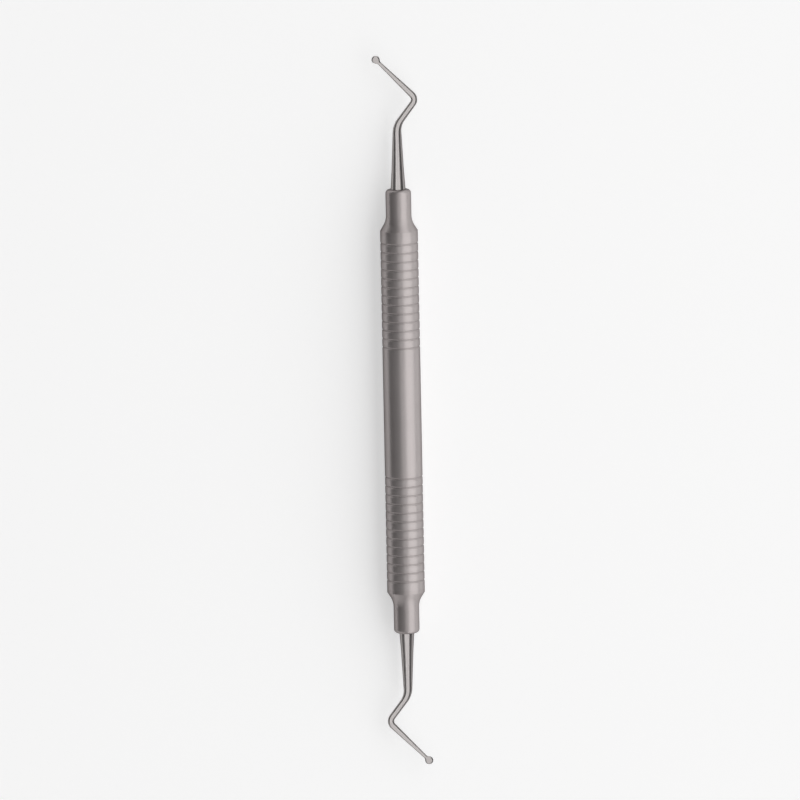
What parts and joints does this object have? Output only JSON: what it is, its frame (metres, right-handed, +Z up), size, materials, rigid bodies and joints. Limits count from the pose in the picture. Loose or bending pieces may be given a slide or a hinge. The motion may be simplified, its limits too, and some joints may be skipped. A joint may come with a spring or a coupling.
{
  "type": "gingival cord packer",
  "caption": "Double-ended dental hand instrument: a hollow ring-grooved steel handle with necked ends, and at each end a bent, tapering shank with a small serrated disc head.",
  "frame": {"origin": "middle of the handle, on the handle's axis", "axes": "+Y along the handle's axis towards the upper tip, the one whose head leans towards -X; +Z up, square to the plane in which both tips are bent; +X to the side of the upper tip's elbow"},
  "size_m": [0.012, 0.181, 0.0094],
  "materials": {
    "handle_steel": "bead-blasted satin stainless steel",
    "tip_steel": "polished stainless steel"
  },
  "bodies": {
    "root": {"handle": "handle_steel", "packer_tip_upper": "tip_steel", "packer_tip_lower": "tip_steel"}
  },
  "joints": []
}
